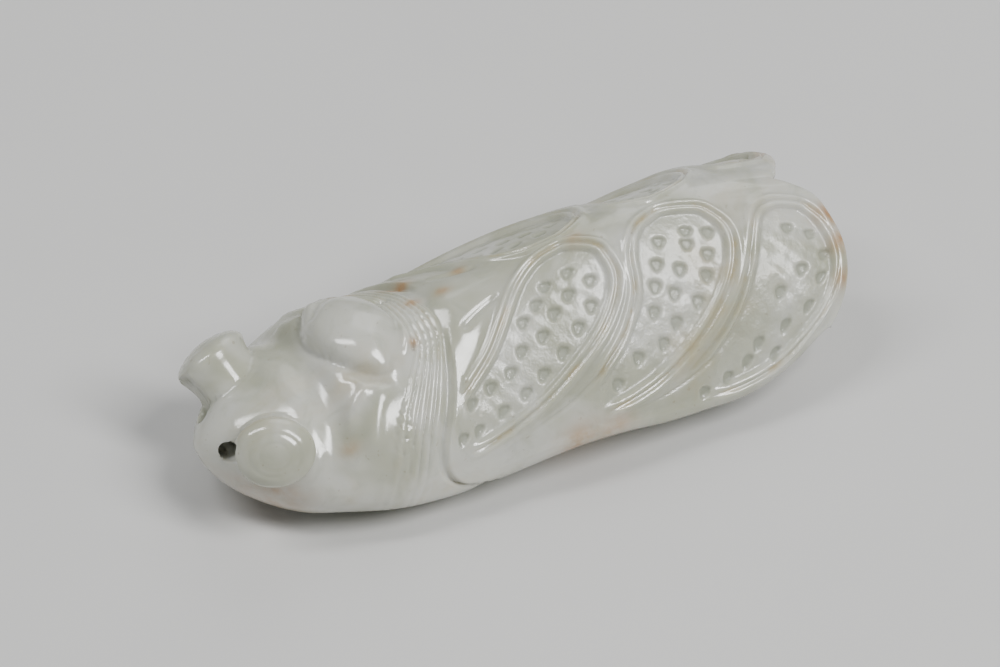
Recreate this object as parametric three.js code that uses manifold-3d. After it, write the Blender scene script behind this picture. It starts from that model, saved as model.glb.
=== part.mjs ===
// A jade cricket carved in the round: one solid of pale nephrite, lying on its belly.
// The head points along -Y, the wing tips along +Y, and the origin is on the ground under
// the middle. Places along the body are millimetres from the nose, and a place on a side
// is millimetres down from the ridge, on a side that counts as SIDE_DEPTH deep all along.
import * as THREE from "three";
import { mergeVertices } from "three/addons/utils/BufferGeometryUtils.js";
import Module from "manifold-3d";

const LENGTH = 69.6;
const SIDE_DEPTH = 22;

// The form along the body: height of the ridge, half width and height of the widest line, how
// round the ridge is, how far the side leans in above the widest line, and below it the half
// width and the height of the flat of the belly.
const ALONG = [0, 4, 10, 16.5, 23, 28, 34, 40, 47, 56, 64, 70];
const RIDGE = [10.7, 12.2, 13.2, 16.0, 16.0, 16.4, 17.1, 18.4, 18.9, 18.8, 17.6, 16.4];
const HALF_WIDTH = [6.0, 8.0, 11.4, 13.2, 13.5, 13.4, 13.9, 14.3, 14.4, 14.3, 13.2, 11.8];
const WIDEST = [5.6, 5.8, 5.8, 4.8, 4.1, 4.6, 5.4, 5.4, 4.4, 4.5, 6.9, 8.8];
const ROUNDNESS = [0.6, 0.6, 0.55, 0.48, 0.4, 0.35, 0.3, 0.28, 0.28, 0.3, 0.32, 0.35];
const LEAN_IN = [0, 0, 0, 0.02, 0.1, 0.25, 0.35, 0.4, 0.45, 0.45, 0.45, 0.45];
const FOOT = [1.5, 2.4, 3.8, 5.2, 5.5, 5.5, 5.5, 5.5, 4.6, 2.6, 1.5, 1.5];
const BELLY = [2.6, 1.6, 0.5, 0, 0, 0, 0, 0, 0, 0, 0, 0];
const NOSE_ROUND = 9;
const NOSE_HEIGHT = 7.6;

// How far the side runs straight down to the widest line, as a part of its height, in front
// and behind, and how far it goes on below that line before it turns under.
const HANDLE_HEAD = 0.45;
const HANDLE_WING = 0.35;
const HANDLE_CHANGE = [16, 34];
const TURN_HEAD = 2.6;
const TURN_WING = 1.0;
const TURN_CHANGE = [28, 38];
const FOOT_HANDLE = 3.5;
const BELLY_PART = 0.8;

// The stations bend forward down the side, as the collar does: they run forward by the slope
// times the drop below the ridge, more and more steeply up to a drop of BEND_DEPTH.
const SLOPE_ALONG = [0, 8, 16, 25, 34, 46];
const SLOPE = [0, 0.12, 0.25, 0.35, 0.3, 0.15];
const BEND_DEPTH = 14;
const BEND_TURNS = 4;

// The two wing tips: rounded lobes with a notch between them.
const TAIL_START = 46;
const LOBE_PLACE = 0.505;
const LOBE_REACH = 0.72;
const LOBE_RADIUS = 15.5;
const TIP_THICKNESS = 2.6;
const TIP_THINNING = 0.5;
const THINNING_CHANGE = [0.8, 1];
const UNDER_SCALE = 0.94;
const UNDER_CHANGE = [0.1, 1];

// The wings overhang the belly: their rim ends at RIM_PART of the way under, and the body has
// drawn in by the overhang at RIM_END.
const OVERHANG = 2.4;
const OVERHANG_CHANGE = [30, 42];
const RIM_PART = 0.14;
const RIM_END = 0.24;

// The carving on the skin.
const NECK_PLACE = 11.8;
const NECK_DEPTH = 0.75;
const NECK_HALF = 1.6;
const RING_COUNT = 4;
const RING_FIRST = 20.4;
const RING_SPACING = 1.2;
const RING_RISE = 0.4;
const RING_DIP = 0.15;
const RING_CREST = 0.3;
const GROOVE_FADE = [0.8, 1];
const WING_FRONT = 25;
const WING_RISE = 0.5;
const WING_FADE = 6;
const RIB_RISE = 0.45;
const RIB_OUT = 0.8;
const RIB_IN = 0.5;
const FLOOR_DEPTH = 0.5;
const PLATE_BOTTOM = -0.8;
const CUTTER_TOP = 2.5;

// The cord hole: one bore from each side of the nose, meeting in the middle.
const CORD_HOLE = { radius: 0.95, length: 8.6, sides: 14 };
const HOLE_MOUTH = new THREE.Vector3(3, -32.7, 9.1);
const HOLE_MIDDLE = new THREE.Vector3(0, -31.7, 7.2);

// The dome behind the neck is the top of a ball of those half sizes, sunk into the back.
const DOME = { along: 17.4, length: 5.5, width: 7, height: 4.2, sunk: 2.9, around: 24, levels: 12 };

// An eye is turned about its own axis: [part of the radius, height over the eye's place].
const EYE = { along: 5.5, out: 6.6, up: 11, radius: 4.15, oval: 0.86, tall: 2.9, sides: 18 };
const EYE_AXIS = new THREE.Vector3(0.77, -0.32, 0.55).normalize();
const EYE_PROFILE = [
  [0, -3.4], [0.84, -3.4], [0.86, -0.4], [0.98, 0.5], [1, 1],
  [0.94, 0.6 * EYE.tall], [0.75, 0.83 * EYE.tall], [0.4, 0.96 * EYE.tall], [0, EYE.tall],
];

// The three cells of a wing, each a comma from its tail near the wing's front or lower edge
// to its round head near the ridge: [along, down] on its front side and on its back side.
const CELLS = [
  {
    front: [[25, 12.3], [27, 11.1], [29.8, 9.1], [32.4, 6.2], [34.8, 3.4], [37.7, 1.4], [41, 1]],
    back: [[25.2, 17.2], [28.8, 17.4], [33.2, 16.1], [37.6, 13.9], [41.9, 11], [44.5, 7.2], [44, 3.1]],
  },
  {
    front: [[38, 17.4], [40.6, 15.5], [43.9, 12.6], [46.2, 9.2], [47, 5.4], [49, 2.6], [52.6, 1.3]],
    back: [[40.4, 19.4], [44.3, 18.4], [48.7, 16.5], [53, 13.8], [56.5, 10.2], [58, 6.2], [56.6, 2.6]],
  },
  {
    front: [[49.8, 19], [52.7, 16.6], [55.9, 14], [58.6, 10.6], [60.5, 7.4], [62.2, 5.2], [64.6, 4.6]],
    back: [[52.6, 20.5], [58.1, 20.5], [63.2, 20.1], [66.9, 18.2], [68.2, 14.2], [68.1, 8.8], [66.9, 5.8]],
  },
];

// Mesh fineness: steps down a side and under it, rows and columns of a cell, and the stations
// in front, round a groove or ring as parts of its size, along the wings and in the tail; then
// the steps that the skin's direction is taken over, and the gap that counts as closed.
const SIDE_STEPS = 14;
const UNDER_STEPS = 7;
const CELL_ROWS = 13;
const CELL_COLUMNS = 4;
const HEAD_STATIONS = [0.3, 1.1, 2.3, 4, 6, 8];
const THORAX_STATIONS = [15, 16.8, 18.5];
const GROOVE_STATIONS = [-1, 0, 1];
const RING_STATIONS = [-0.42, -0.24, 0.24];
const WING_SPACING = 2.2;
const TAIL_STEPS = 11;
const TAIL_GAP = 0.8;
const ALONG_STEP = 0.4;
const DOWN_STEP = 0.04;
const TIP_MARGIN = 0.01;
const WELD = 1e-4;

const wasm = await Module();
wasm.setup();

const clamp01 = (value) => Math.min(Math.max(value, 0), 1);
const mix = (a, b, part) => a + (b - a) * part;

function ease([from, to], value) {
  const part = clamp01((value - from) / (to - from));
  return part * part * (3 - 2 * part);
}

function bezier(a, b, c, d, part) {
  const rest = 1 - part;
  return a * rest ** 3 + 3 * b * part * rest ** 2 + 3 * c * part ** 2 * rest + d * part ** 3;
}

// A smooth curve through the values, with the slope at each taken from its neighbours.
function through(places, values, place) {
  const last = places.length - 1;
  const at = Math.min(Math.max(place, places[0]), places[last]);
  let index = 0;
  while (index < last - 1 && at > places[index + 1]) index += 1;
  const slope = (k) => {
    const before = Math.max(k - 1, 0);
    const after = Math.min(k + 1, last);
    return (values[after] - values[before]) / (places[after] - places[before]);
  };
  const gap = places[index + 1] - places[index];
  const part = (at - places[index]) / gap;
  const rest = 1 - part;
  return values[index] * (1 + 2 * part) * rest ** 2 + gap * slope(index) * part * rest ** 2
    + values[index + 1] * part ** 2 * (3 - 2 * part) - gap * slope(index + 1) * part ** 2 * rest;
}

function noseScale(y) {
  const rest = 1 - clamp01(y / NOSE_ROUND);
  return Math.sqrt(Math.max(1 - rest * rest, 0));
}

// Half width and height of the upper side at y, from the ridge (part 0) to the widest line (1).
function upperSection(y, part) {
  const ridge = through(ALONG, RIDGE, y);
  const half = through(ALONG, HALF_WIDTH, y);
  const widest = through(ALONG, WIDEST, y);
  const handle = mix(HANDLE_HEAD, HANDLE_WING, ease(HANDLE_CHANGE, y));
  const rise = ridge - widest;
  const scale = noseScale(y);
  const leanIn = through(ALONG, LEAN_IN, y) * handle * rise;
  const out = bezier(0, through(ALONG, ROUNDNESS, y) * half, half - leanIn, half, part);
  const up = bezier(ridge, ridge, widest + handle * rise, widest, part);
  return [out * scale, mix(NOSE_HEIGHT, up, scale)];
}

// The same below, from the widest line (part 0) to the middle of the belly (1).
function lowerSection(y, part) {
  const half = through(ALONG, HALF_WIDTH, y);
  const widest = through(ALONG, WIDEST, y);
  const foot = through(ALONG, FOOT, y);
  const belly = Math.max(through(ALONG, BELLY, y), 0);
  const turn = clamp01(part / BELLY_PART);
  const scale = noseScale(y);
  const drop = mix(TURN_HEAD, TURN_WING, ease(TURN_CHANGE, y));
  const overhang = OVERHANG * ease(OVERHANG_CHANGE, y) * ease([RIM_PART, RIM_END], part);
  const out = bezier(half, half, foot + FOOT_HANDLE, foot, turn) * (1 - overhang / half);
  const up = bezier(widest, widest - drop, belly, belly, turn);
  const flat = clamp01((1 - part) / (1 - BELLY_PART));
  return [out * flat * scale, mix(NOSE_HEIGHT, up, scale)];
}

function tipEdge(part) {
  const offset = (part - LOBE_PLACE) / LOBE_REACH;
  return LENGTH - LOBE_RADIUS * (1 - Math.sqrt(Math.max(1 - offset * offset, 0)));
}

const tailShare = (station) => clamp01((station - TAIL_START) / (LENGTH - TAIL_START));

// True y of a station where its line has come down to that part of the side.
function stationY(station, part) {
  const base = Math.min(station, TAIL_START);
  const slope = through(SLOPE_ALONG, SLOPE, base);
  const ridge = through(ALONG, RIDGE, base);
  let y = base;
  for (let turn = 0; turn < BEND_TURNS; turn += 1) {
    y = base - slope * (ridge - upperSection(y, part)[1]) ** 2 / BEND_DEPTH;
  }
  return mix(Math.max(y, 0), tipEdge(part), tailShare(station));
}

function smoothPoint(station, part) {
  const y = stationY(station, part);
  const [out, up] = upperSection(y, part);
  return new THREE.Vector3(out, y - LENGTH / 2, up);
}

// The direction out of the skin, from a short step along it and one down it.
function skinNormal(station, part) {
  const back = Math.min(station + ALONG_STEP / 2, LENGTH - TIP_MARGIN);
  const along = smoothPoint(back, part).sub(smoothPoint(back - ALONG_STEP, part));
  const low = Math.min(part + DOWN_STEP / 2, 1);
  const down = smoothPoint(station, low).sub(smoothPoint(station, low - DOWN_STEP));
  return down.cross(along).normalize();
}

function onSkin(station, down, height) {
  const part = down / SIDE_DEPTH;
  return smoothPoint(station, part).addScaledVector(skinNormal(station, part), height);
}

// How far the neck groove and the collar's rings stand proud of the smooth skin.
function grooveHeight(station) {
  const neck = -NECK_DEPTH * Math.max(1 - Math.abs(station - NECK_PLACE) / NECK_HALF, 0);
  const ring = (station - RING_FIRST) / RING_SPACING;
  const inRings = ring > -0.5 && ring < RING_COUNT - 0.5;
  const crest = Math.abs(ring - Math.round(ring)) < RING_CREST ? RING_RISE : -RING_DIP;
  return neck + (inRings ? crest : 0);
}

// How far the wings stand proud: they begin at a step behind the collar.
function wingHeight(station) {
  if (station < WING_FRONT) return 0;
  return WING_RISE * (1 - ease([LENGTH - WING_FADE, LENGTH], station));
}

function upperPoint(station, part) {
  const height = grooveHeight(station) * (1 - ease(GROOVE_FADE, part)) + wingHeight(station);
  return smoothPoint(station, part).addScaledVector(skinNormal(station, part), height);
}

// The underside: the belly's section ahead, blending into the underside of the wing tips.
function lowerPoint(station, part) {
  const tail = tailShare(station);
  const y = mix(stationY(station, 1), stationY(station, 1 - part), tail);
  const belly = lowerSection(y, part);
  const wing = upperSection(y, 1 - part);
  const blend = ease(UNDER_CHANGE, tail);
  const thickness = TIP_THICKNESS * mix(1, TIP_THINNING, ease(THINNING_CHANGE, tail));
  const rim = wingHeight(station) * (1 - ease([RIM_PART, RIM_END], part));
  return new THREE.Vector3(
    mix(belly[0] + rim, wing[0] * UNDER_SCALE, blend),
    y - LENGTH / 2,
    mix(belly[1], wing[1] - thickness, blend),
  );
}

// Stations of the mesh: close together where the carving is, wide apart on smooth stretches.
function meshStations() {
  const list = [...HEAD_STATIONS];
  for (const offset of GROOVE_STATIONS) list.push(NECK_PLACE + offset * NECK_HALF);
  list.push(...THORAX_STATIONS);
  for (let ring = 0; ring < RING_COUNT; ring += 1) {
    for (const offset of RING_STATIONS) list.push(RING_FIRST + (ring + offset) * RING_SPACING);
  }
  for (let station = WING_FRONT; station < TAIL_START; station += WING_SPACING) list.push(station);
  for (let step = 0; step <= TAIL_STEPS; step += 1) {
    const part = Math.sin((step / TAIL_STEPS) * Math.PI * 0.5);
    list.push(mix(TAIL_START + TAIL_GAP, LENGTH, part));
  }
  return list;
}

// Gathers points and faces, and turns them into a solid.
class Shell {
  constructor() {
    this.points = [];
    this.faces = [];
  }

  add(point) {
    this.points.push(point.x, point.y, point.z);
    return this.points.length / 3 - 1;
  }

  quad(a, b, c, d) {
    this.faces.push(a, b, c, a, c, d);
  }

  solid() {
    return toSolid(this.points, this.faces);
  }

  mirrored() {
    const other = new Shell();
    other.points = this.points.map((value, index) => (index % 3 === 0 ? -value : value));
    other.faces = [...this.faces].reverse();
    return other;
  }
}

function toSolid(points, faces) {
  const mesh = new wasm.Mesh({
    numProp: 3,
    vertProperties: new Float32Array(points),
    triVerts: new Uint32Array(faces),
  });
  return new wasm.Manifold(mesh);
}

// The body as rings of points round each station, closed at the nose and across the tips.
function bodySolid() {
  const shell = new Shell();
  const rings = meshStations().map((station) => {
    const right = [];
    for (let step = 0; step <= SIDE_STEPS; step += 1) right.push(upperPoint(station, step / SIDE_STEPS));
    for (let step = 1; step <= UNDER_STEPS; step += 1) right.push(lowerPoint(station, step / UNDER_STEPS));
    const left = right.slice(1, -1).reverse().map((point) => new THREE.Vector3(-point.x, point.y, point.z));
    return [...right, ...left].map((point) => shell.add(point));
  });
  const around = rings[0].length;
  const nose = shell.add(new THREE.Vector3(0, -LENGTH / 2, NOSE_HEIGHT));
  for (let k = 0; k < around; k += 1) {
    const next = (k + 1) % around;
    shell.faces.push(nose, rings[0][next], rings[0][k]);
    for (let row = 1; row < rings.length; row += 1) {
      shell.quad(rings[row - 1][k], rings[row - 1][next], rings[row][next], rings[row][k]);
    }
  }
  closeTips(shell, rings[rings.length - 1]);
  return shell.solid();
}

// Closes the last ring: on each side the rim is a strip from the wing's top to its underside.
function closeTips(shell, ring) {
  const around = ring.length;
  const last = SIDE_STEPS + UNDER_STEPS;
  for (const side of [1, -1]) {
    const at = (index) => ring[(side * index + around) % around];
    let top = SIDE_STEPS - 1;
    let under = SIDE_STEPS;
    while (top > 0 || under < last) {
      const topShare = (SIDE_STEPS - top + 1) / SIDE_STEPS;
      const underShare = (under + 1 - SIDE_STEPS) / UNDER_STEPS;
      const stepsUnder = under < last && (top === 0 || underShare <= topShare);
      const third = stepsUnder ? under + 1 : top - 1;
      const face = [at(top), at(under), at(third)];
      shell.faces.push(...(side > 0 ? face : face.reverse()));
      if (stepsUnder) under = third;
      else top = third;
    }
  }
}

// A cell's edge as smooth rows of [along, down] on its front and back, moved in by the inset.
function cellRows(cell, inset) {
  const places = cell.front.map((point, index) => index / (cell.front.length - 1));
  const edge = (points, row) => [0, 1].map((axis) => (
    through(places, points.map((point) => point[axis]), row / CELL_ROWS)));
  const front = [];
  const back = [];
  for (let row = 0; row <= CELL_ROWS; row += 1) {
    front.push(edge(cell.front, row));
    back.push(edge(cell.back, row));
  }
  const loop = [...front, ...back.reverse()];
  const moved = loop.map((point, index) => {
    const before = loop[(index + loop.length - 1) % loop.length];
    const after = loop[(index + 1) % loop.length];
    const run = [after[0] - before[0], after[1] - before[1]];
    const size = Math.hypot(...run);
    return [point[0] - inset * run[1] / size, point[1] + inset * run[0] / size];
  });
  return { front: moved.slice(0, CELL_ROWS + 1), back: moved.slice(CELL_ROWS + 1).reverse() };
}

// A plate in the shape of a cell that follows the skin between two heights.
function cellPlate(cell, inset, low, high) {
  const shell = new Shell();
  const rows = cellRows(cell, inset);
  const layer = (height) => rows.front.map((front, row) => {
    const back = rows.back[row];
    const line = [];
    for (let column = 0; column <= CELL_COLUMNS; column += 1) {
      const share = column / CELL_COLUMNS;
      line.push(shell.add(onSkin(mix(front[0], back[0], share), mix(front[1], back[1], share), height)));
    }
    return line;
  });
  const top = layer(high);
  const bottom = layer(low);
  const wall = (row, column, nextRow, nextColumn) => {
    shell.quad(top[nextRow][nextColumn], top[row][column], bottom[row][column], bottom[nextRow][nextColumn]);
  };
  for (let row = 0; row < CELL_ROWS; row += 1) {
    for (let column = 0; column < CELL_COLUMNS; column += 1) {
      const corners = [[row, column], [row, column + 1], [row + 1, column + 1], [row + 1, column]];
      shell.quad(...corners.map(([r, c]) => top[r][c]));
      shell.quad(...corners.reverse().map(([r, c]) => bottom[r][c]));
    }
    wall(row, CELL_COLUMNS, row + 1, CELL_COLUMNS);
    wall(row + 1, 0, row, 0);
  }
  for (let column = 0; column < CELL_COLUMNS; column += 1) {
    wall(0, column, 0, column + 1);
    wall(CELL_ROWS, column + 1, CELL_ROWS, column);
  }
  return shell;
}

// Turns a closed three.js geometry into a solid with its faces pointing out.
function geometrySolid(geometry, matrix) {
  const bare = geometry.clone();
  bare.deleteAttribute("normal");
  bare.deleteAttribute("uv");
  const merged = mergeVertices(bare.applyMatrix4(matrix), WELD);
  const faces = [];
  const index = merged.index.array;
  for (let k = 0; k < index.length; k += 3) {
    const [a, b, c] = index.slice(k, k + 3);
    if (a !== b && b !== c && c !== a) faces.push(a, b, c);
  }
  const solid = toSolid(merged.attributes.position.array, faces);
  return solid.volume() > 0 ? solid : toSolid(merged.attributes.position.array, faces.reverse());
}

// An eye: a thick button with a domed face on a slightly narrower neck.
function eyeSolid(side) {
  const profile = EYE_PROFILE.map(([out, up]) => new THREE.Vector2(out * EYE.radius, up));
  const axis = EYE_AXIS.clone();
  axis.x *= side;
  const level = new THREE.Vector3(0, 0, 1).cross(axis).normalize();
  const upright = level.clone().cross(axis);
  const matrix = new THREE.Matrix4().makeBasis(level, axis, upright.multiplyScalar(EYE.oval));
  matrix.setPosition(side * EYE.out, EYE.along - LENGTH / 2, EYE.up);
  return geometrySolid(new THREE.LatheGeometry(profile, EYE.sides), matrix);
}

// The low dome in the middle of the back, just behind the neck.
function domeSolid() {
  const normal = skinNormal(DOME.along, 0).setX(0).normalize();
  const across = new THREE.Vector3(1, 0, 0);
  const back = normal.clone().cross(across);
  const matrix = new THREE.Matrix4().makeBasis(
    across.multiplyScalar(DOME.width),
    back.multiplyScalar(DOME.length),
    normal.clone().multiplyScalar(DOME.height),
  );
  matrix.setPosition(smoothPoint(DOME.along, 0).addScaledVector(normal, -DOME.sunk));
  return geometrySolid(new THREE.SphereGeometry(1, DOME.around, DOME.levels), matrix);
}

// One bore of the cord hole, as a pin that reaches as far out of its mouth as into the stone.
function boreSolid(side) {
  const { radius, length, sides } = CORD_HOLE;
  const mouth = HOLE_MOUTH.clone();
  mouth.x *= side;
  const inward = HOLE_MIDDLE.clone().sub(mouth);
  const upright = new THREE.Vector3(0, 1, 0);
  const turn = new THREE.Matrix4().makeRotationFromQuaternion(
    new THREE.Quaternion().setFromUnitVectors(upright, inward.normalize()));
  turn.setPosition(mouth);
  return geometrySolid(new THREE.CylinderGeometry(radius, radius, length, sides), turn);
}

function carving() {
  let solid = bodySolid();
  for (const cell of CELLS) {
    const plate = cellPlate(cell, -RIB_OUT, PLATE_BOTTOM, WING_RISE + RIB_RISE);
    solid = solid.add(plate.solid()).add(plate.mirrored().solid());
  }
  for (const cell of CELLS) {
    const floor = cellPlate(cell, RIB_IN, WING_RISE - FLOOR_DEPTH, CUTTER_TOP);
    solid = solid.subtract(floor.solid()).subtract(floor.mirrored().solid());
  }
  solid = solid.add(domeSolid());
  for (const side of [1, -1]) solid = solid.add(eyeSolid(side));
  for (const side of [1, -1]) solid = solid.subtract(boreSolid(side));
  return solid;
}

function toGeometry(solid) {
  const mesh = solid.getMesh();
  const geometry = new THREE.BufferGeometry();
  geometry.setAttribute("position", new THREE.BufferAttribute(new Float32Array(mesh.vertProperties), 3));
  geometry.setIndex(new THREE.BufferAttribute(new Uint32Array(mesh.triVerts), 1));
  return geometry;
}

const jade = new THREE.MeshStandardMaterial({ color: 0xd9dccb, roughness: 0.22, metalness: 0 });
const cricket = new THREE.Mesh(toGeometry(carving()), jade);
cricket.name = "cricket_carving";
const group = new THREE.Group();
group.add(cricket);

export default group;
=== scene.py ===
"""A jade insect carved in the round, on a pale table under soft light.

The skin is one closed mesh of stations along the body and steps round it. The relief is a
height over that skin, worked out for each point from its station (millimetres from the nose)
and its depth (millimetres down the side from the ridge, minus on the insect's right).
"""

import bmesh
import bpy
import numpy as np
from mathutils import Matrix, Vector


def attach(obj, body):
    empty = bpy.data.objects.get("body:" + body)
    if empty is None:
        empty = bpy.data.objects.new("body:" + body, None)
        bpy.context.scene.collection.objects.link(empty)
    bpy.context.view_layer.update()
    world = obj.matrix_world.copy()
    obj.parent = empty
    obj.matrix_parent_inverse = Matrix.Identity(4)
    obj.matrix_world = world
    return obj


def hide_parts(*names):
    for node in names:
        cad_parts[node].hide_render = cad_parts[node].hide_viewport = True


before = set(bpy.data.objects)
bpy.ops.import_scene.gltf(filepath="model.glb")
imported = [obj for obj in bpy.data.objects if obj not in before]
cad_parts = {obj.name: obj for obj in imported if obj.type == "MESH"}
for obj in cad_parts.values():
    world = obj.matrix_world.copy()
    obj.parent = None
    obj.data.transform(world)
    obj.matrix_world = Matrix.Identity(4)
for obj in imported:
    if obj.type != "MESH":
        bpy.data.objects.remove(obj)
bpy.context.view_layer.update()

MM = 0.001
LENGTH = 69.6
SIDE_DEPTH = 22.0

# The form, as in the solid: along the body, the ridge's height, half width, height of the
# widest line, roundness of the ridge and lean of the side.
ALONG = np.array([0, 4, 10, 16.5, 23, 28, 34, 40, 47, 56, 64, 70])
RIDGE = np.array([10.7, 12.2, 13.2, 16.0, 16.0, 16.4, 17.1, 18.4, 18.9, 18.8, 17.6, 16.4])
HALF_WIDTH = np.array([6.0, 8.0, 11.4, 13.2, 13.5, 13.4, 13.9, 14.3, 14.4, 14.3, 13.2, 11.8])
WIDEST = np.array([5.6, 5.8, 5.8, 4.8, 4.1, 4.6, 5.4, 5.4, 4.4, 4.5, 6.9, 8.8])
ROUNDNESS = np.array([0.6, 0.6, 0.55, 0.48, 0.4, 0.35, 0.3, 0.28, 0.28, 0.3, 0.32, 0.35])
LEAN_IN = np.array([0, 0, 0, 0.02, 0.1, 0.25, 0.35, 0.4, 0.45, 0.45, 0.45, 0.45])
NOSE_ROUND = 9.0
NOSE_HEIGHT = 7.6
SLOPE_ALONG = np.array([0, 8, 16, 25, 34, 46])
SLOPE = np.array([0, 0.12, 0.25, 0.35, 0.3, 0.15])
BEND_DEPTH = 14.0
TAIL_START = 46.0
LOBE_PLACE = 0.505
LOBE_REACH = 0.72
LOBE_RADIUS = 15.5
TIP_MORE = 0.5
TIP_LESS = 1.0
TIP_THICKNESS = 2.6
TIP_ROUND = 1.0
UNDER_SCALE = 0.94
UNDER_TURN_HEAD = 2.6
UNDER_TURN_WING = 1.0
FOOT = np.array([1.5, 2.4, 3.8, 5.2, 5.5, 5.5, 5.5, 5.5, 4.6, 2.6, 1.5, 1.5])
BELLY = np.array([2.6, 1.6, 0.5, 0, 0, 0, 0, 0, 0, 0, 0, 0])
OVERHANG = 2.4
OVERHANG_FROM = 30.0
OVERHANG_FULL = 42.0
RIM_PART = 0.14

# Mesh fineness.
SIDE_STEPS = 108
UNDER_STEPS = 18

# Places on the skin: station and depth.
NECK_DOWN = [0, 6, 9, 14, 18, 22]
NECK_LINE = [12.1, 12.1, 12.0, 11.2, 10.6, 10.2]
DOME_EDGE = [
    [13.4, -2.6], [13.6, -4.6], [14.4, -6.8], [16.0, -8.2], [18.2, -8.4], [20.2, -7.2], [21.4, -4.8], [22.0, -1.5],
    [22.1, 1.8], [21.4, 4.6], [19.8, 6.4], [18.0, 6.1], [16.4, 4.6], [15.3, 3.1], [14.5, 1.5], [13.8, -0.3]]
DOME_RISE = 1.35
DOME_ROUND = 3.6
RING_DOWN = [-22, -12, -7, -3.8, -1, 1, 2.9, 5.3, 7.4, 8.7, 11.3, 14, 17, 22]
RING_OUT = [23.2, 23.6, 24.3, 24.9, 25.4, 25.8, 26.0, 25.7, 25.1, 24.6, 23.7, 22.8, 22.4, 22.4]
RING_IN = [17.0, 18.9, 20.9, 22.2, 22.6, 22.7, 22.7, 22.3, 21.0, 20.2, 18.6, 17.7, 17.1, 16.8]
RING_COUNT = 5
RING_RISE = 0.42
FRONT_DOWN = [0, 3, 7.6, 11.4, 15.1, 17.3, 19.2, 20.8, 21.4, 22]
WING_FRONT = [26.2, 26.5, 25.6, 24.6, 23.5, 23.4, 24.1, 25.6, 26.6, 28]
CORNER_SLOPE = 18.0
WING_RISE = 0.5

# The cells of a wing, each a comma: places on its front edge and on its back edge.
CELLS = [
    {
        "front": [[25, 12.3], [27, 11.1], [29.8, 9.1], [32.4, 6.2], [34.8, 3.4], [37.7, 1.4], [41, 1]],
        "back": [[25.2, 17.2], [28.8, 17.4], [33.2, 16.1], [37.6, 13.9], [41.9, 11], [44.5, 7.2], [44, 3.1]],
    },
    {
        "front": [[38, 17.4], [40.6, 15.5], [43.9, 12.6], [46.2, 9.2], [47, 5.4], [49, 2.6], [52.6, 1.3]],
        "back": [[40.4, 19.4], [44.3, 18.4], [48.7, 16.5], [53, 13.8], [56.5, 10.2], [58, 6.2], [56.6, 2.6]],
    },
    {
        "front": [[49.8, 19], [52.7, 16.6], [55.9, 14], [58.6, 10.6], [60.5, 7.4], [62.2, 5.2], [64.6, 4.6]],
        "back": [[52.6, 20.8], [58.1, 20.9], [63.2, 20.5], [67.0, 18.5], [68.4, 14.3], [68.3, 8.8], [67.1, 5.6]],
    },
]
# Rows of drilled pits in each cell: part of the way up the comma, then parts across it.
PITS = [
    [(0.01, 0.7), (0.12, 0.23, 0.715), (0.25, 0.305, 0.725), (0.35, 0.4, 0.76), (0.435, 0.37, 0.775),
     (0.527, 0.23, 0.51, 0.81), (0.615, 0.285, 0.505, 0.805), (0.7, 0.285, 0.56, 0.825), (0.785, 0.45, 0.725)],
    [(0.17, 0.5), (0.29, 0.44), (0.375, 0.66), (0.455, 0.315, 0.655), (0.545, 0.255, 0.5, 0.795),
     (0.635, 0.28, 0.52, 0.795), (0.745, 0.285, 0.565), (0.715, 0.775), (0.81, 0.555, 0.785)],
    [(0.01, 0.755), (0.12, 0.685), (0.215, 0.62), (0.29, 0.505, 0.85), (0.385, 0.655), (0.475, 0.385, 0.775),
     (0.59, 0.545, 0.8), (0.685, 0.83), (0.76, 0.41, 0.71)],
]
PIT_RADIUS = 0.68
PIT_DEPTH = 0.26
FLOOR_DEPTH = 0.42

# Folds behind the head and fine lines on the wings: points, height and width.
FOLDS = [
    ([(14.6, 3.6), (16.6, 5.9), (19.2, 7.9)], -0.3, 0.45),
    ([(16.8, 6.3), (15.2, 7.6), (13.8, 9.0), (13.0, 11.5)], 0.35, 0.8),
    ([(18.6, 7.6), (16.8, 9.0), (15.6, 11.4), (15.0, 15)], 0.3, 0.9),
]
LINES = [
    ([(27.6, 5.4), (29.8, 4.3), (33.0, 3.2)], -0.25, 0.4),
    ([(46.2, 8.6), (44.9, 11.6), (41.9, 14.2), (37.4, 16.9), (32, 18.6)], -0.18, 0.25),
    ([(47.0, 4.0), (46.3, 7.0), (45.9, 10.4), (43.6, 13.8), (38.6, 17.4)], -0.14, 0.25),
    ([(59.6, 8.0), (58.2, 11.4), (54.6, 14.6), (50.0, 17.9)], -0.16, 0.25),
    ([(56.6, 14.9), (51.6, 17.8), (46.4, 19.4), (41.0, 20.3)], -0.14, 0.25),
]

# Russet skin of the stone and dirt in its hollows: station, depth, radius and strength.
STAINS = [
    (25.3, -7.5, 1.2, 1.0), (20.5, -10.4, 1.0, 0.8), (24.8, -1.8, 0.8, 0.6), (28.0, -1.2, 0.9, 0.5),
    (30.9, -4.4, 0.8, 0.5), (22.6, 4.2, 0.55, 0.8), (12.7, 12.6, 1.1, 0.35), (42.5, 1.0, 1.2, 0.4),
    (69.4, 8.0, 1.6, 0.9), (69.6, 12.0, 1.4, 1.0), (69.2, 16.5, 1.4, 0.6), (38.5, 21.8, 2.2, 0.6),
    (42.0, 21.6, 1.8, 0.5), (5.0, 20.8, 3.0, 0.5), (68.4, -9.0, 1.2, 0.5),
]

EYE = {"along": 5.5, "out": 6.6, "up": 11.0, "radius": 4.15, "oval": 0.86, "tall": 2.9}
EYE_AXIS = Vector((0.77, -0.32, 0.55)).normalized()
EYE_EDGE = 0.95
EYE_RING = 0.05
EYE_STEPS = 72

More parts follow.
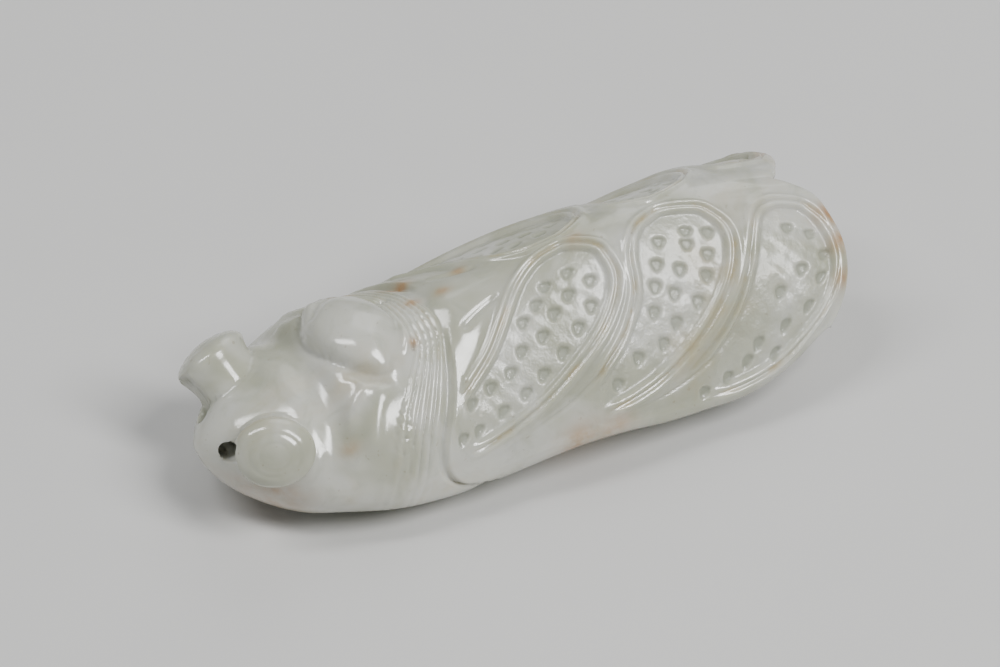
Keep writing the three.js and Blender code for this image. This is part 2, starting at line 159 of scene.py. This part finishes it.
# The cord hole: one bore from each side of the nose, meeting in the middle.
HOLE_RADIUS = 0.95
HOLE_LENGTH = 8.6
HOLE_MOUTH = Vector((3, -32.7, 9.1))
HOLE_MIDDLE = Vector((0, -31.7, 7.2))


def mix(a, b, part):
    return a + (b - a) * part


def ease(start, end, value):
    part = np.clip((value - start) / (end - start), 0, 1)
    return part * part * (3 - 2 * part)


def bump(value, middle, width):
    return np.exp(-(((value - middle) / width) ** 2))


def bezier(a, b, c, d, part):
    rest = 1 - part
    return a * rest**3 + 3 * b * part * rest**2 + 3 * c * part**2 * rest + d * part**3


def through(places, values, place):
    """A smooth curve through the values, with the slope at each taken from its neighbours."""
    places = np.asarray(places, float)
    values = np.asarray(values, float)
    before = np.maximum(np.arange(len(places)) - 1, 0)
    after = np.minimum(np.arange(len(places)) + 1, len(places) - 1)
    slopes = (values[after] - values[before]) / (places[after] - places[before])
    at = np.clip(place, places[0], places[-1])
    index = np.clip(np.searchsorted(places, at) - 1, 0, len(places) - 2)
    gap = places[index + 1] - places[index]
    part = (at - places[index]) / gap
    rest = 1 - part
    return (values[index] * (1 + 2 * part) * rest**2 + gap * slopes[index] * part * rest**2
            + values[index + 1] * part**2 * (3 - 2 * part) - gap * slopes[index + 1] * part**2 * rest)


def nose_scale(y):
    rest = 1 - np.clip(y / NOSE_ROUND, 0, 1)
    return np.sqrt(np.maximum(1 - rest * rest, 0))


def upper_section(y, part):
    """Half width and height of the upper side, from the ridge (part 0) to the widest line (1)."""
    ridge = through(ALONG, RIDGE, y)
    half = through(ALONG, HALF_WIDTH, y)
    widest = through(ALONG, WIDEST, y)
    handle = mix(0.45, 0.35, ease(16, 34, y))
    rise = ridge - widest
    scale = nose_scale(y)
    lean_in = through(ALONG, LEAN_IN, y) * handle * rise
    out = bezier(0, through(ALONG, ROUNDNESS, y) * half, half - lean_in, half, part)
    up = bezier(ridge, ridge, widest + handle * rise, widest, part)
    return out * scale, mix(NOSE_HEIGHT, up, scale)


def lower_section(y, part):
    """The same below, from the widest line (part 0) to the middle of the belly (1)."""
    half = through(ALONG, HALF_WIDTH, y)
    widest = through(ALONG, WIDEST, y)
    foot = through(ALONG, FOOT, y)
    belly = np.maximum(through(ALONG, BELLY, y), 0)
    turn = np.clip(part / 0.8, 0, 1)
    scale = nose_scale(y)
    overhang = OVERHANG * ease(OVERHANG_FROM, OVERHANG_FULL, y) * ease(RIM_PART, 0.24, part)
    out = bezier(half, half, foot + 3.5, foot, turn) * (1 - overhang / half)
    lower = mix(UNDER_TURN_HEAD, UNDER_TURN_WING, ease(28, 38, y))
    up = bezier(widest, widest - lower, belly, belly, turn)
    flat = np.where(part > 0.8, (1 - part) / 0.2, 1)
    return out * flat * scale, mix(NOSE_HEIGHT, up, scale)


def station_y(station, part):
    """True place along the body of a station where its line has come down to that part."""
    base = np.minimum(station, TAIL_START)
    slope = through(SLOPE_ALONG, SLOPE, base)
    ridge = through(ALONG, RIDGE, base)
    y = base
    for _ in range(4):
        y = base - slope * (ridge - upper_section(y, part)[1]) ** 2 / BEND_DEPTH
    tail = np.clip((station - TAIL_START) / (LENGTH - TAIL_START), 0, 1)
    offset = (part - LOBE_PLACE) / LOBE_REACH
    tip = LENGTH - LOBE_RADIUS * (1 - np.sqrt(np.maximum(1 - offset * offset, 0)))
    return mix(np.maximum(y, 0), tip, tail)


def tip_round(station):
    """How thick the rim is, from 1 inside to almost nothing at the very edge of the tips."""
    near = np.clip((station - LENGTH + TIP_ROUND) / TIP_ROUND, 0, 1)
    return np.sqrt(np.maximum(1 - near * near, 0.004))


def upper_skin(station, part):
    y = station_y(station, part)
    out, up = upper_section(y, part)
    drop = 0.35 * TIP_THICKNESS * 0.5 * (1 - tip_round(station))
    return np.stack([out, y - LENGTH / 2, up - drop], -1)


def wing_height(station):
    return WING_RISE * (1 - ease(LENGTH - 6, LENGTH, station))


def lower_skin(station, part):
    tail = np.clip((station - TAIL_START) / (LENGTH - TAIL_START), 0, 1)
    y = mix(station_y(station, np.ones_like(part)), station_y(station, 1 - part), tail)
    belly_out, belly_up = lower_section(y, part)
    wing_out, wing_up = upper_section(y, 1 - part)
    blend = ease(0.1, 1, tail)
    full = TIP_THICKNESS * mix(1, 0.5, ease(0.8, 1, tail))
    drop = mix(0.35 * full, full, tip_round(station))
    return np.stack([mix(belly_out, wing_out * UNDER_SCALE, blend), y - LENGTH / 2,
                     mix(belly_up, wing_up - drop, blend)], -1)


def mesh_stations():
    nose = 2.4 * np.linspace(0, 1, 13)[1:] ** 2
    runs = [(2.4, 19.6, 0.4), (19.6, 26.4, 0.16), (26.4, LENGTH - TIP_ROUND, 0.2)]
    parts = [nose]
    for start, end, pitch in runs:
        parts.append(np.linspace(start, end, round((end - start) / pitch) + 1)[1:])
    turn = np.linspace(0, np.pi / 2, 9)[1:]
    parts.append(LENGTH - TIP_ROUND * (1 - np.sin(turn)))
    return np.concatenate(parts)


def rounded(loop, turns):
    """Cuts the corners of a closed line, again and again."""
    for _ in range(turns):
        after = np.roll(loop, -1, axis=0)
        loop = np.stack([mix(loop, after, 0.25), mix(loop, after, 0.75)], 1).reshape(-1, 2)
    return loop


def cell_edges(cell, rows):
    places = np.linspace(0, 1, len(cell["front"]))
    sides = []
    for name in ("front", "back"):
        points = np.array(cell[name])
        sides.append(np.stack([through(places, points[:, axis], rows) for axis in (0, 1)], -1))
    return sides


def cell_outline(cell):
    front, back = cell_edges(cell, np.linspace(0, 1, 19))
    return rounded(np.concatenate([front, back[::-1]]), 2)


def inside_distance(loop, station, down):
    """Distance in from a closed outline, and minus the distance to it outside."""
    spot = np.stack([station, down], -1)
    nearest = np.full(station.shape, 1e9)
    inside = np.zeros(station.shape, bool)
    for start, end in zip(loop, np.roll(loop, -1, axis=0)):
        run = end - start
        part = np.clip(((spot - start) @ run) / (run @ run), 0, 1)
        gap = np.linalg.norm(spot - start - part[..., None] * run, axis=-1)
        nearest = np.minimum(nearest, gap)
        crosses = (start[1] > down) != (end[1] > down)
        reach = start[0] + (down - start[1]) * run[0] / (run[1] if run[1] else 1e-9)
        inside ^= crosses & (station < reach)
    return np.where(inside, nearest, -nearest)


def line_distance(points, station, down):
    """Distance to a line through the points, and the part of the way along it."""
    points = np.array(points, float)
    places = np.linspace(0, 1, len(points))
    steps = np.linspace(0, 1, 8 * len(points))
    line = np.stack([through(places, points[:, axis], steps) for axis in (0, 1)], -1)
    nearest = np.full(station.shape, 1e9)
    along = np.zeros(station.shape)
    for index in range(len(line) - 1):
        run = line[index + 1] - line[index]
        from_start = np.stack([station - line[index][0], down - line[index][1]], -1)
        part = np.clip((from_start @ run) / (run @ run), 0, 1)
        gap = np.linalg.norm(from_start - part[..., None] * run, axis=-1)
        closer = gap < nearest
        nearest = np.where(closer, gap, nearest)
        along = np.where(closer, mix(steps[index], steps[index + 1], part), along)
    return nearest, along


def stroke(points, station, down, height, width):
    """A ridge, or a groove where the height is minus, that tapers away at both its ends."""
    gap, along = line_distance(points, station, down)
    return height * bump(gap, 0, width) * ease(0, 0.2, along) * (1 - ease(0.8, 1, along))


def waves(x, y, z, size, seed):
    """Smooth unevenness between about -1 and 1, with lumps of that size in millimetres."""
    draw = np.random.default_rng(seed)
    total = 0
    for _ in range(14):
        way = draw.normal(size=3)
        way *= draw.uniform(0.7, 1.4) * np.pi / (size * np.linalg.norm(way))
        total = total + np.sin(x * way[0] + y * way[1] + z * way[2] + draw.uniform(0, 2 * np.pi))
    return total / 5


def head_relief(station, down):
    side = np.abs(down)
    neck = through(NECK_DOWN, NECK_LINE, side)
    fade = 1 - ease(15, 20, side)
    height = -0.65 * bump(station, neck, 1.6) * fade + 0.3 * bump(station, neck - 2.6, 1.5) * fade
    inner = inside_distance(rounded(np.array(DOME_EDGE), 2), station, down)
    rest = 1 - np.clip(inner / DOME_ROUND, 0, 1)
    merged = ease(17.0, 20.0, station) * ease(-1.0, 3.0, down)
    cap = DOME_RISE * mix(np.sqrt(1 - rest**2), ease(-1.2, 4.0, inner), merged)
    crease = -0.3 * bump(inner, -0.25, 0.45) * (1 - merged)
    ahead = through(RING_DOWN, RING_IN, down) - station
    band = 0.55 * ease(-0.1, 0.25, ahead) * (1 - ease(0.3, 2.4, ahead)) * (1 - ease(4.0, 5.6, side))
    height = height + cap + crease + band * (1 - ease(-0.3, 0.4, inner))
    for points, rise, wide in FOLDS:
        height = height + stroke(points, station, side, rise, wide)
    pit = np.hypot(station - 22.5, side - 4.6)
    return height - 0.5 * bump(pit, 0, 0.5)


def collar_relief(station, down):
    side = np.abs(down)
    first = through(RING_DOWN, RING_IN, down)
    last = through(RING_DOWN, RING_OUT, down)
    turn = (station - first) / (last - first) * RING_COUNT
    within = ease(-0.05, 0.15, turn) * (1 - ease(RING_COUNT - 0.1, RING_COUNT + 0.05, turn))
    ring = np.sqrt(np.abs(np.sin(np.pi * turn)) + 0.02)
    first_more = 1 + 0.4 * (1 - ease(0.9, 1.1, turn))
    fade = 1 - 0.75 * ease(12, 20, side)
    height = RING_RISE * (ring - 0.45) * within * fade * first_more
    beyond = station - through(FRONT_DOWN, WING_FRONT, side)
    merged = 1 - ease(4, 8, side)
    step = mix(ease(-0.1, 0.4, beyond), ease(-1.2, 1.8, beyond), merged)
    wing = WING_RISE * step * (1 - ease(LENGTH - 6, LENGTH, station))
    line = -0.3 * bump(beyond, -0.35, 0.35) * (1 - 0.8 * merged)
    return height + line + wing, (1 - ring) * within * (1 - ease(8, 16, side))


def cell_relief(cell, pits, station, down):
    """Height, matte floor, grooves and drilled pits of one cell, which is open at its tail."""
    inner = inside_distance(cell_outline(cell), station, down)
    middle = (np.array(cell["front"]) + np.array(cell["back"])) / 2
    closed = ease(0.03, 0.17, line_distance(middle, station, down)[1])
    height = 0.14 * ease(-2.2, -0.8, inner) * (1 - ease(-0.6, 0.8, inner))
    height = height + 0.28 * bump(inner, -0.72, 0.34) + 0.22 * bump(inner, 0.26, 0.22)
    floor = ease(0.35, 0.85, inner) * mix(0.4, 1, closed)
    height = closed * (height - 0.12 * bump(inner, -0.2, 0.22)) - FLOOR_DEPTH * floor * closed
    groove = bump(inner, -0.2, 0.3) * closed
    pit = np.zeros(station.shape)
    for row, *columns in pits:
        front, back = cell_edges(cell, np.array([row]))
        for column in columns:
            middle = mix(front[0], back[0], column)
            gap = np.hypot(station - middle[0], down - middle[1])
            angle = np.arctan2(down - middle[1], station - middle[0])
            shaped = gap * (1 + 0.1 * np.cos(3 * (angle - 0.9)))
            pit = np.maximum(pit, 1 - ease(0.75 * PIT_RADIUS, 1.15 * PIT_RADIUS, shaped))
    return height - PIT_DEPTH * pit, floor, groove, pit


def upper_relief(station, down):
    side = np.abs(down)
    collar, groove = collar_relief(station, down)
    height = head_relief(station, down) + collar
    floor = np.zeros(station.shape)
    pit = np.zeros(station.shape)
    for cell, pits in zip(CELLS, PITS):
        rise, flat, line, hole = cell_relief(cell, pits, station, side)
        height = height + rise
        floor = np.maximum(floor, flat)
        groove = np.maximum(groove, line)
        pit = np.maximum(pit, hole)
    for points, rise, wide in LINES:
        height = height + stroke(points, station, side, rise, wide)
    rim = bump(side, 21.3, 0.5) * ease(28, 34, station)
    height = height + 0.12 * rim
    tip = bump(station, LENGTH - 1.9, 0.45) * (1 - ease(19, 21, side)) * ease(3, 6, side)
    return height - 0.1 * tip, floor, groove, pit


def lower_relief(station, part):
    """Plain carving below: segments of the belly and three pairs of folded legs."""
    height = np.zeros(station.shape)
    for place in np.arange(31, 56, 3.1):
        height = height - 0.22 * bump(station, place, 0.45) * ease(0.3, 0.45, part)
    for start in (12.5, 17.5, 22.5):
        line = start + 5.5 * (1 - part) ** 2
        height = height - 0.3 * bump(station, line, 0.5) * ease(0.3, 0.42, part) * (1 - ease(0.93, 1, part))
    return height


def skin_arrays():
    """Points, and the floor, groove and pit shares, as rows of points round each station."""
    station = mesh_stations()[:, None]
    upper = np.linspace(0, 1, SIDE_STEPS + 1)[None, :]
    lower = np.linspace(0, 1, UNDER_STEPS + 1)[None, 1:]
    rows = (len(station), 1)
    above = upper_skin(*np.broadcast_arrays(station, upper))
    below = lower_skin(*np.broadcast_arrays(station, lower))
    half = np.concatenate([above, below], 1)
    part = np.concatenate([upper, 1 - lower], 1)
    tail = np.clip((station - TAIL_START) / (LENGTH - TAIL_START), 0, 1) ** 3
    near = half.copy()
    near[..., 1] += TIP_MORE * tail * bump(part, 0.2, 0.12)
    far = half * [-1, 1, 1]
    far[..., 1] -= TIP_LESS * tail * ease(0, 0.2, part) * (1 - ease(0.6, 0.9, part))
    points = np.concatenate([near, far[:, 1:-1][:, ::-1]], 1)
    around = np.roll(points, -1, 1) - np.roll(points, 1, 1)
    along = np.gradient(points, axis=0)
    normal = np.cross(around, along)
    normal /= np.linalg.norm(normal, axis=-1, keepdims=True) + 1e-12

    fields = []
    for sign in (1, -1):
        spot = np.broadcast_arrays(station, sign * upper * SIDE_DEPTH)
        height, floor, groove, pit = upper_relief(*spot)
        end = 1 - ease(LENGTH - 1.2, LENGTH - 0.3, spot[0])
        height = height * end
        under = lower_relief(*np.broadcast_arrays(station, lower))
        corner = ease(-0.3, 0.8, station - WING_FRONT[-1] - CORNER_SLOPE * lower)
        edge = height[:, -1:] * (1 - ease(RIM_PART, 0.24, lower)) * mix(1, corner, ease(24, 27, station))
        none = np.zeros(under.shape)
        fields.append([np.concatenate(pair, 1) for pair in (
            (height, under + edge), (floor, none), (groove, none), (pit, none),
            (spot[1], np.full(under.shape, sign * SIDE_DEPTH)))])
    joined = [np.concatenate([right, left[:, 1:-1][:, ::-1]], 1) for right, left in zip(*fields)]
    height, floor, groove, pit, down = joined
    x, y, z = np.moveaxis(points, -1, 0)
    uneven = ease(0.6, 3.0, z)
    height = height + 0.05 * waves(x, y, z, 5.0, 3) * uneven
    height = height + floor * (0.035 * waves(x, y, z, 0.9, 5))
    points = points + normal * height[..., None]
    return points, {"floor": floor, "groove": groove, "pit": pit}, station * np.ones(rows), down


def stain_share(station, down):
    total = np.zeros(down.shape)
    for place, depth, radius, strength in STAINS:
        total = np.maximum(total, strength * bump(np.hypot(station - place, down - depth), 0, radius))
    return total


def add_mesh(name, points, faces, shares=None):
    mesh = bpy.data.meshes.new(name)
    mesh.from_pydata([tuple(point) for point in np.asarray(points) * MM], [], faces)
    for share, values in (shares or {}).items():
        mesh.attributes.new(share, "FLOAT", "POINT").data.foreach_set("value", values)
    piece = bpy.data.objects.new(name, mesh)
    bpy.context.scene.collection.objects.link(piece)
    return piece


def tip_faces(ring):
    """Closes the last ring: on each side a strip joins the wing's top to its underside."""
    faces = []
    around = len(ring)
    last = SIDE_STEPS + UNDER_STEPS
    for side in (1, -1):
        top = SIDE_STEPS - 1
        under = SIDE_STEPS
        while top > 0 or under < last:
            next_top = (SIDE_STEPS - top + 1) / SIDE_STEPS
            next_under = (under + 1 - SIDE_STEPS) / UNDER_STEPS
            face = [top, under]
            if under < last and (top == 0 or next_under <= next_top):
                under += 1
                face.append(under)
            else:
                top -= 1
                face.append(top)
            face = [ring[(side * index) % around] for index in face]
            faces.append(face if side > 0 else face[::-1])
    return faces


def make_body():
    points, shares, station, down = skin_arrays()
    shares["stain"] = stain_share(station, down)
    rows, around = points.shape[:2]
    index = np.arange(rows * around).reshape(rows, around)
    after = np.roll(index, -1, 1)
    quads = np.stack([index[:-1], after[:-1], after[1:], index[1:]], -1).reshape(-1, 4)
    faces = quads.tolist()
    nose = rows * around
    faces += [[nose, after[0, k], index[0, k]] for k in range(around)]
    faces += tip_faces(index[-1].tolist())
    flat = np.concatenate([points.reshape(-1, 3), [[0, -LENGTH / 2, NOSE_HEIGHT]]])
    values = {name: np.append(share.reshape(-1), 0) for name, share in shares.items()}
    values["eye"] = np.zeros(len(flat))
    return add_mesh("jade_cricket", flat, faces, values)


def lathe(name, profile, steps):
    """A closed turned form about Z from (radius, height) pairs that start and end on the axis."""
    points = [(0, 0, profile[0][1])]
    for radius, height in profile[1:-1]:
        for step in range(steps):
            angle = 2 * np.pi * step / steps
            points.append((radius * np.cos(angle), radius * np.sin(angle), height))
    points.append((0, 0, profile[-1][1]))
    top = len(points) - 1
    faces = []
    levels = len(profile) - 2
    for step in range(steps):
        after = (step + 1) % steps
        faces.append((0, 1 + after, 1 + step))
        for level in range(levels - 1):
            low = 1 + level * steps
            high = low + steps
            faces.append((low + step, low + after, high + after, high + step))
        high = 1 + (levels - 1) * steps
        faces.append((high + step, high + after, top))
    return add_mesh(name, points, faces, {"eye": np.ones(len(points))})


def make_eye(side):
    radius = EYE["radius"]
    tall = EYE["tall"]
    neck = [[0, -3.4], [0.85 * radius, -3.4], [0.86 * radius, -1.6], [0.87 * radius, -0.4], [0.93 * radius, 0.2]]
    turn = np.linspace(0, np.pi / 2, 40)
    out = radius * np.cos(turn)
    rings = EYE_RING * bump(out, 0.36 * radius, 0.2) + EYE_RING * bump(out, 0.62 * radius, 0.25)
    face = np.stack([out, mix(EYE_EDGE, tall, np.sin(turn)) - rings], -1)
    profile = np.concatenate([neck, face])
    profile[-1, 0] = 0
    eye = lathe("eye", profile, EYE_STEPS)
    axis = Vector((side * EYE_AXIS.x, EYE_AXIS.y, EYE_AXIS.z))
    level = Vector((0, 0, 1)).cross(axis).normalized()
    upright = axis.cross(level) * EYE["oval"]
    turn = Matrix((level, upright, axis)).transposed().to_4x4()
    place = Vector((side * EYE["out"], EYE["along"] - LENGTH / 2, EYE["up"])) * MM
    eye.data.transform(Matrix.Translation(place) @ turn)
    if side < 0 and turn.determinant() < 0:
        eye.data.flip_normals()
    return eye


def make_hole(side):
    """One bore of the cord hole, as a pin with a wider end at the mouth for its worn edge."""
    radius = HOLE_RADIUS
    half = HOLE_LENGTH / 2
    profile = [(0, -half), (1.9 * radius, -half), (1.25 * radius, -0.6), (radius, 0.1), (radius, half), (0, half)]
    hole = lathe("hole", profile, 40)
    mouth = Vector((side * HOLE_MOUTH.x, HOLE_MOUTH.y, HOLE_MOUTH.z))
    turn = (HOLE_MIDDLE - mouth).to_track_quat("Z", "Y").to_matrix().to_4x4()
    hole.data.transform(Matrix.Translation(mouth * MM) @ turn)
    return hole


def combine(piece, other, operation):
    cut = piece.modifiers.new(operation.lower(), "BOOLEAN")
    cut.operation = operation
    cut.solver = "MANIFOLD"
    cut.object = other
    depsgraph = bpy.context.evaluated_depsgraph_get()
    result = bpy.data.meshes.new_from_object(piece.evaluated_get(depsgraph))
    piece.modifiers.clear()
    piece.data = result
    bpy.data.objects.remove(other)


def soften_seams(piece):
    """Eases the sharp line where an eye's neck meets the head."""
    work = bmesh.new()
    work.from_mesh(piece.data)
    layer = work.verts.layers.float["eye"]
    seam = set()
    for edge in work.edges:
        if abs(edge.verts[0][layer] - edge.verts[1][layer]) > 0.5:
            seam.update(edge.verts)
    for _ in range(2):
        seam |= {edge.other_vert(vert) for vert in seam for edge in vert.link_edges}
    for _ in range(6):
        bmesh.ops.smooth_vert(work, verts=list(seam), factor=0.5, use_axis_x=True, use_axis_y=True, use_axis_z=True)
    work.to_mesh(piece.data)
    work.free()


class Nodes:
    """Short names for building a material's nodes."""

    def __init__(self, name):
        self.material = bpy.data.materials.new(name)
        self.material.use_nodes = True
        self.tree = self.material.node_tree
        self.shader = self.tree.nodes["Principled BSDF"]

    def add(self, kind, links=None, **values):
        node = self.tree.nodes.new(kind)
        for key, value in values.items():
            setattr(node, key, value)
        for socket, value in (links or {}).items():
            self.put(node, socket, value)
        return node

    def put(self, node, socket, value):
        if isinstance(value, bpy.types.NodeSocket):
            self.tree.links.new(value, node.inputs[socket])
        else:
            node.inputs[socket].default_value = value

    def share(self, name):
        return self.add("ShaderNodeAttribute", attribute_name=name).outputs["Fac"]

    def noise(self, scale, detail=4.0, rough=0.55, warp=0.0):
        place = self.add("ShaderNodeTexCoord").outputs["Object"]
        values = {"Vector": place, "Scale": scale, "Detail": detail, "Roughness": rough, "Distortion": warp}
        return self.add("ShaderNodeTexNoise", values).outputs["Fac"]

    def ramp(self, value, start, end, low=0.0, high=1.0):
        values = {"Value": value, "From Min": start, "From Max": end, "To Min": low, "To Max": high}
        node = self.add("ShaderNodeMapRange", values, interpolation_type="SMOOTHSTEP")
        return node.outputs["Result"]

    def maths(self, operation, first, second):
        return self.add("ShaderNodeMath", {0: first, 1: second}, operation=operation).outputs[0]

    def blend(self, part, first, second):
        node = self.add("ShaderNodeMix", data_type="RGBA")
        self.put(node, "Factor", part)
        for socket, value in ((6, first), (7, second)):
            self.put(node, socket, value)
        return node.outputs[2]


GREEN_WHITE = (0.44, 0.445, 0.345, 1)
MILK_WHITE = (0.61, 0.61, 0.55, 1)
COOL_GREEN = (0.34, 0.36, 0.27, 1)
STRAW = (0.46, 0.35, 0.14, 1)
RUSSET = (0.42, 0.19, 0.03, 1)
DUST = (0.27, 0.22, 0.14, 1)
PIT_GREY = (0.30, 0.315, 0.235, 1)


def jade_material():
    nodes = Nodes("jade_polished")
    cloud = nodes.ramp(nodes.noise(95, 3, 0.5, 0.6), 0.38, 0.66)
    veil = nodes.ramp(nodes.noise(260, 5, 0.6, 1.2), 0.45, 0.75)
    colour = nodes.blend(cloud, GREEN_WHITE, MILK_WHITE)
    colour = nodes.blend(nodes.maths("MULTIPLY", veil, 0.35), colour, COOL_GREEN)
    grime = nodes.maths("MULTIPLY", nodes.share("groove"), nodes.ramp(nodes.noise(420, 4), 0.42, 0.72))
    colour = nodes.blend(nodes.maths("MULTIPLY", grime, 0.75), colour, STRAW)
    warm = nodes.ramp(nodes.noise(55, 4, 0.6, 0.8), 0.56, 0.78)
    colour = nodes.blend(nodes.maths("MULTIPLY", warm, 0.5), colour, STRAW)
    speck = nodes.ramp(nodes.noise(1500, 2, 0.5), 0.69, 0.76)
    colour = nodes.blend(nodes.maths("MULTIPLY", speck, 0.35), colour, DUST)
    colour = nodes.blend(nodes.maths("MULTIPLY", nodes.share("pit"), 0.7), colour, PIT_GREY)
    ragged = nodes.maths("MULTIPLY", nodes.share("stain"), nodes.ramp(nodes.noise(500, 4), 0.3, 0.6, 0.35, 1.0))
    colour = nodes.blend(ragged, colour, RUSSET)
    shader = nodes.shader
    nodes.put(shader, "Base Color", colour)
    rough = nodes.ramp(nodes.noise(700, 3), 0.3, 0.7, 0.12, 0.2)
    rough = nodes.maths("ADD", rough, nodes.maths("MULTIPLY", nodes.share("floor"), 0.16))
    rough = nodes.maths("ADD", rough, nodes.maths("MULTIPLY", nodes.share("pit"), 0.25))
    nodes.put(shader, "Roughness", rough)
    shader.inputs["Subsurface Weight"].default_value = 0.55
    shader.inputs["Subsurface Radius"].default_value = (1.0, 0.95, 0.75)
    shader.inputs["Subsurface Scale"].default_value = 0.0014
    shader.inputs["IOR"].default_value = 1.61
    shader.inputs["Specular IOR Level"].default_value = 0.55
    shader.inputs["Coat Weight"].default_value = 0.25
    shader.inputs["Coat Roughness"].default_value = 0.06
    wobble = nodes.add("ShaderNodeBump", {"Strength": 0.25, "Distance": 0.00006, "Height": nodes.noise(900, 3)})
    tooled = nodes.maths("MULTIPLY", nodes.share("floor"), nodes.noise(2200, 2))
    sparkle = nodes.add("ShaderNodeBump", {
        "Strength": 0.5, "Distance": 0.0001, "Height": tooled, "Normal": wobble.outputs["Normal"]})
    nodes.put(shader, "Normal", sparkle.outputs["Normal"])
    return nodes.material


def table_material():
    nodes = Nodes("pale_table")
    grain = nodes.noise(40, 5)
    nodes.put(nodes.shader, "Base Color", nodes.blend(grain, (0.64, 0.635, 0.62, 1), (0.68, 0.675, 0.66, 1)))
    nodes.put(nodes.shader, "Roughness", 0.6)
    return nodes.material


def make_cricket():
    body = make_body()
    for side in (1, -1):
        combine(body, make_eye(side), "UNION")
    for side in (1, -1):
        combine(body, make_hole(side), "DIFFERENCE")
    soften_seams(body)
    body.data.shade_smooth()
    body.data.materials.clear()
    body.data.materials.append(jade_material())
    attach(body, "root")
    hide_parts("cricket_carving")
    return body


def make_table():
    size = 3.0
    corners = [(-size, -size, 0), (size, -size, 0), (size, size, 0), (-size, size, 0)]
    table = add_mesh("table", np.array(corners) / MM, [(0, 1, 2, 3)])
    table.data.materials.append(table_material())


def aim(thing, place, target):
    thing.location = place
    thing.rotation_mode = "QUATERNION"
    thing.rotation_quaternion = (Vector(target) - Vector(place)).to_track_quat("-Z", "Y")


def add_light(name, place, target, size, power, colour=(1, 1, 1)):
    lamp = bpy.data.lights.new(name, "AREA")
    lamp.shape = "RECTANGLE"
    lamp.size, lamp.size_y = size
    lamp.energy = power
    lamp.color = colour
    light = bpy.data.objects.new(name, lamp)
    bpy.context.scene.collection.objects.link(light)
    aim(light, place, target)


def around_point(target, azimuth, elevation, distance):
    turn = np.radians(azimuth)
    lift = np.radians(elevation)
    back = Vector((np.sin(turn) * np.cos(lift), -np.cos(turn) * np.cos(lift), np.sin(lift)))
    return Vector(target) + back * distance


CAMERA_TARGET = (0, -0.0008, 0.010)


def make_stage():
    make_table()
    middle = (0, 0, 0.01)
    add_light("key", around_point(middle, 122, 52, 0.7), middle, (0.16, 0.42), 4.6)
    add_light("side", around_point(middle, -25, 60, 0.8), middle, (0.12, 0.45), 2.6)
    add_light("fill", around_point(middle, 230, 45, 1.0), middle, (0.6, 0.6), 1.6)
    world = bpy.data.worlds.new("soft_room")
    world.use_nodes = True
    world.node_tree.nodes["Background"].inputs["Color"].default_value = (0.82, 0.86, 0.92, 1)
    world.node_tree.nodes["Background"].inputs["Strength"].default_value = 0.2
    bpy.context.scene.world = world


def make_camera():
    data = bpy.data.cameras.new("camera")
    data.lens = 230.5
    data.sensor_width = 36
    data.shift_x = 0.0005
    data.shift_y = -0.0085
    data.clip_start = 0.01
    data.clip_end = 20
    camera = bpy.data.objects.new("camera", data)
    bpy.context.scene.collection.objects.link(camera)
    aim(camera, around_point(CAMERA_TARGET, 63, 44.4, 0.65), CAMERA_TARGET)
    bpy.context.scene.camera = camera


make_cricket()
make_stage()
make_camera()
